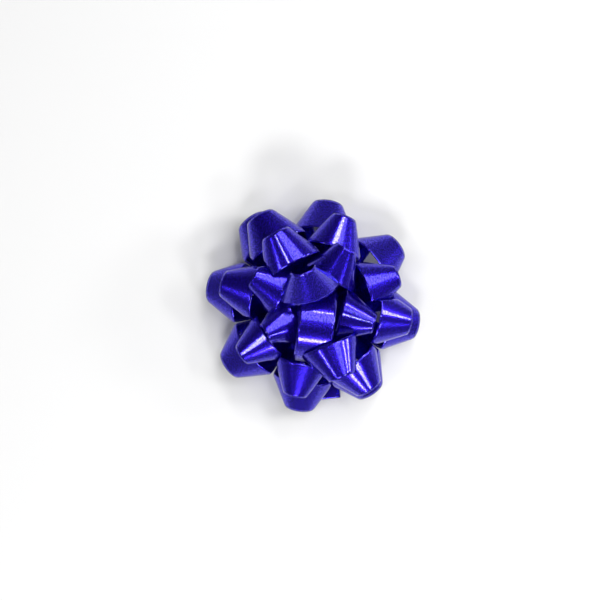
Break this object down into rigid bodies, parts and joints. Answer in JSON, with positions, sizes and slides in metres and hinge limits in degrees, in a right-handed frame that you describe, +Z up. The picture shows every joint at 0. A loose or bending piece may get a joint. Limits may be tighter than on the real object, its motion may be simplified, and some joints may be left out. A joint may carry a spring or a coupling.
{
  "type": "gift bow",
  "caption": "Star gift bow of looped satin ribbon in stacked tiers, stapled to a card disc with a stick-on foam pad and peel-off liner.",
  "frame": {"origin": "centre of the release liner's underside, where the bow stands", "axes": "+Z up out of the bow's middle; the surface it stands on is the XY plane; +Y points to the top of the plan view"},
  "size_m": [0.1156, 0.1147, 0.0588],
  "materials": {
    "ribbon": "satin metallised polypropylene ribbon",
    "card": "matt white board",
    "foam": "closed-cell white foam",
    "adhesive": "clear pressure-sensitive adhesive",
    "liner_paper": "siliconed paper",
    "staple_wire": "galvanised wire"
  },
  "bodies": {
    "bow": {"adhesive_lower": "adhesive", "foam_pad": "foam", "adhesive_upper": "adhesive", "card_disc": "card", "staple": "staple_wire", "ribbon_tail": "ribbon", "lower_loop_1": "ribbon", "lower_loop_2": "ribbon", "lower_loop_3": "ribbon", "lower_loop_4": "ribbon", "lower_loop_5": "ribbon", "lower_loop_6": "ribbon", "lower_loop_7": "ribbon", "lower_loop_8": "ribbon", "middle_loop_1": "ribbon", "middle_loop_2": "ribbon", "middle_loop_3": "ribbon", "middle_loop_4": "ribbon", "middle_loop_5": "ribbon", "middle_loop_6": "ribbon", "middle_loop_7": "ribbon", "middle_loop_8": "ribbon", "upper_loop_1": "ribbon", "upper_loop_2": "ribbon", "upper_loop_3": "ribbon", "upper_loop_4": "ribbon", "upper_loop_5": "ribbon", "upper_loop_6": "ribbon", "crown_curl": "ribbon", "crown_loop": "ribbon"},
    "liner": {"release_liner": "liner_paper"}
  },
  "joints": [
    {"name": "liner_peel", "type": "slide", "parent": "bow", "child": "liner", "axis": [0, 0, -1], "range_m": [0, 0.04]}
  ]
}
